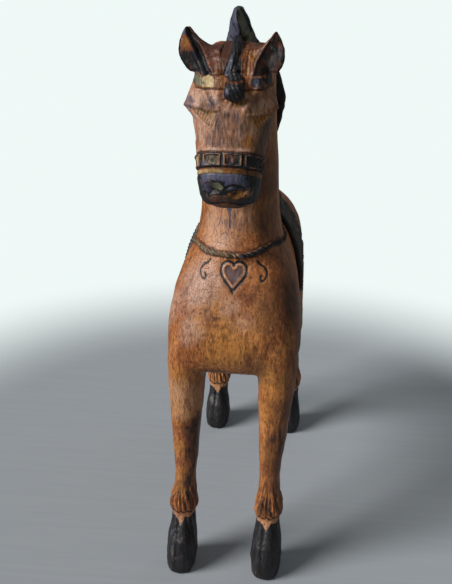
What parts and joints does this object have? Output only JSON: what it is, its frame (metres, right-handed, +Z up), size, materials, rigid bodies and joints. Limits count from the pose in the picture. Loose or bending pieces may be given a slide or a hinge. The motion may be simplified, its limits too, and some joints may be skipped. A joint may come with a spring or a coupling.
{
  "type": "carved wooden horse statue",
  "caption": "Standing carved wooden horse with an upright neck, leaf ears, a black mane, a carved saddle and a rope necklace, for display on a floor.",
  "frame": {"origin": "floor level under the centre of the statue's bounding box", "axes": "+Z up, the horse faces -Y, its left side is +X"},
  "size_m": [0.2314, 0.7202, 1],
  "materials": {
    "wood": "stained and rubbed brown, satin, with open grain and tool marks",
    "dark_wood": "dark red-brown stain, satin",
    "black_paint": "worn black paint on wood",
    "saddle_paint": "carved wood with worn black and brown paint",
    "dowel": "bare hardwood"
  },
  "bodies": {
    "root": {"body_block": "wood", "neck_block": "wood", "head_block": "wood", "ear_left": "dark_wood", "ear_right": "dark_wood", "forelock": "black_paint", "mane": "black_paint", "saddle": "saddle_paint", "tail": "black_paint", "leg_front_left": "wood", "leg_front_right": "wood", "leg_hind_left": "wood", "leg_hind_right": "wood", "neck_dowel_left": "dowel", "neck_dowel_right": "dowel", "head_dowel_lower": "dowel", "head_dowel_upper": "dowel", "ear_dowel_left": "dowel", "ear_dowel_right": "dowel", "forelock_dowel": "dowel", "mane_dowel_lower": "dowel", "mane_dowel_upper": "dowel", "saddle_dowel_front": "dowel", "saddle_dowel_rear": "dowel"}
  },
  "joints": []
}
